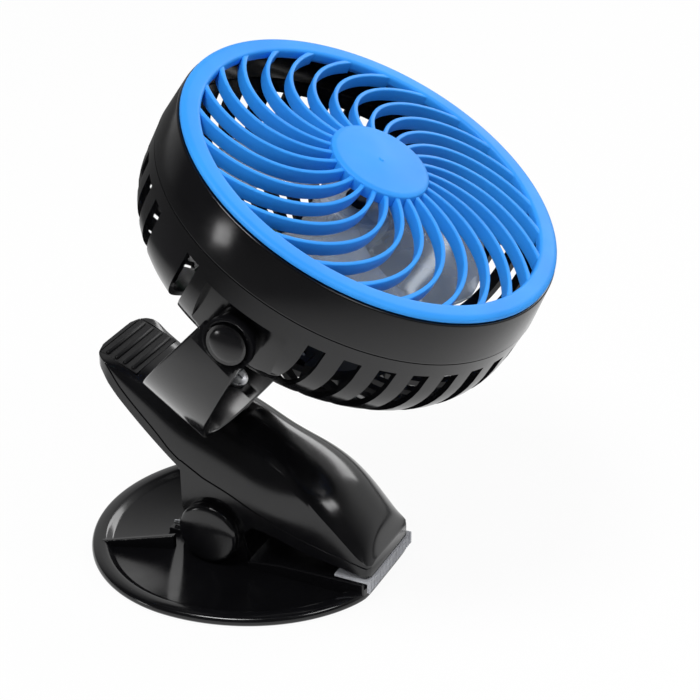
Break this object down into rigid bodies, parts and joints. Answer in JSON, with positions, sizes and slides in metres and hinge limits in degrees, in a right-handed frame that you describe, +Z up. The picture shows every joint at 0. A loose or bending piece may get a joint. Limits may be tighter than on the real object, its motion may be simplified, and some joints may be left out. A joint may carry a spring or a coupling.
{
  "type": "clip fan",
  "caption": "Small round fan in a guarded housing that tilts in a U yoke, swivels on a spring clip and stands on the clip's round foot.",
  "frame": {"origin": "middle of the base's widest line, 3 mm behind it, on the surface that the fan stands on", "axes": "+Z up, +X towards the tip of the clip's jaws, +Y to the far side in the picture; the clip is symmetric about Y = 0"},
  "size_m": [0.1838, 0.1564, 0.2051],
  "materials": {
    "black_gloss": "black injection-moulded plastic with a high gloss",
    "black_matte": "black moulded plastic with a fine matte grain",
    "blue": "bright blue satin moulded plastic",
    "pale_grey": "pale grey soft plastic strip",
    "rubber": "dark rubber",
    "steel": "plain bright steel",
    "smoky": "clear smoky plastic",
    "board": "green circuit board",
    "cell_wrap": "plain shrink wrap",
    "lamp": "clear pale blue lens"
  },
  "bodies": {
    "base": {"base": "black_gloss", "foot_pad_1": "rubber", "foot_pad_2": "rubber", "foot_pad_3": "rubber", "foot_pad_4": "rubber", "lower_jaw_pad": "pale_grey", "pivot_pin": "steel", "pivot_cap_near": "black_gloss", "pivot_cap_far": "black_gloss", "torsion_spring": "steel"},
    "lever": {"upper_jaw": "black_gloss", "thumb_grip": "black_matte", "upper_jaw_pad": "pale_grey", "swivel_screw": "steel", "swivel_nut": "steel"},
    "yoke": {"yoke": "black_gloss", "swivel_washer": "black_matte", "tilt_cap_near": "black_gloss", "tilt_cap_far": "black_gloss"},
    "head": {"front_grille": "blue", "front_housing": "black_gloss", "rear_housing": "black_gloss", "tilt_screw_near": "steel", "tilt_screw_far": "steel", "motor_mount": "black_matte", "motor": "steel", "circuit_board": "board", "potentiometer": "black_matte", "usb_socket": "steel", "led_lens": "lamp", "battery_cell": "cell_wrap", "battery_contact": "steel", "battery_spring": "steel", "mount_screw_1": "steel", "mount_screw_2": "steel", "mount_screw_3": "steel", "mount_screw_4": "steel"},
    "fan": {"impeller": "smoky", "impeller_cap": "black_matte", "motor_shaft": "steel"},
    "dial": {"speed_dial": "black_matte"},
    "door": {"battery_door": "black_gloss", "door_screw": "steel"}
  },
  "joints": [
    {"name": "jaw_hinge", "type": "hinge", "parent": "base", "child": "lever", "pos_m": [0.0015, 0, 0.015], "axis": [0, -1, 0], "range_deg": [0, 35], "stiffness_Nm_per_rad": 1, "springref_deg": -34.38, "deforming": ["torsion_spring"]},
    {"name": "yoke_swivel", "type": "hinge", "parent": "lever", "child": "yoke", "pos_m": [0.0422, 0, 0.1333], "axis": [0.5592, 0, 0.829], "continuous": true},
    {"name": "head_tilt", "type": "hinge", "parent": "yoke", "child": "head", "pos_m": [0.0422, 0, 0.1333], "axis": [0, 1, 0], "range_deg": [-50, 75]},
    {"name": "fan_spin", "type": "hinge", "parent": "head", "child": "fan", "pos_m": [0.0422, 0, 0.1333], "axis": [0.4648, 0, 0.8854], "continuous": true},
    {"name": "dial_turn", "type": "hinge", "parent": "head", "child": "dial", "pos_m": [0.01918, 0, 0.14539], "axis": [-0.4648, 0, -0.8854], "range_deg": [0, 270]},
    {"name": "battery_door_slide", "type": "slide", "parent": "head", "child": "door", "axis": [-0.4648, 0, -0.8854], "range_m": [0, 0.025]}
  ]
}
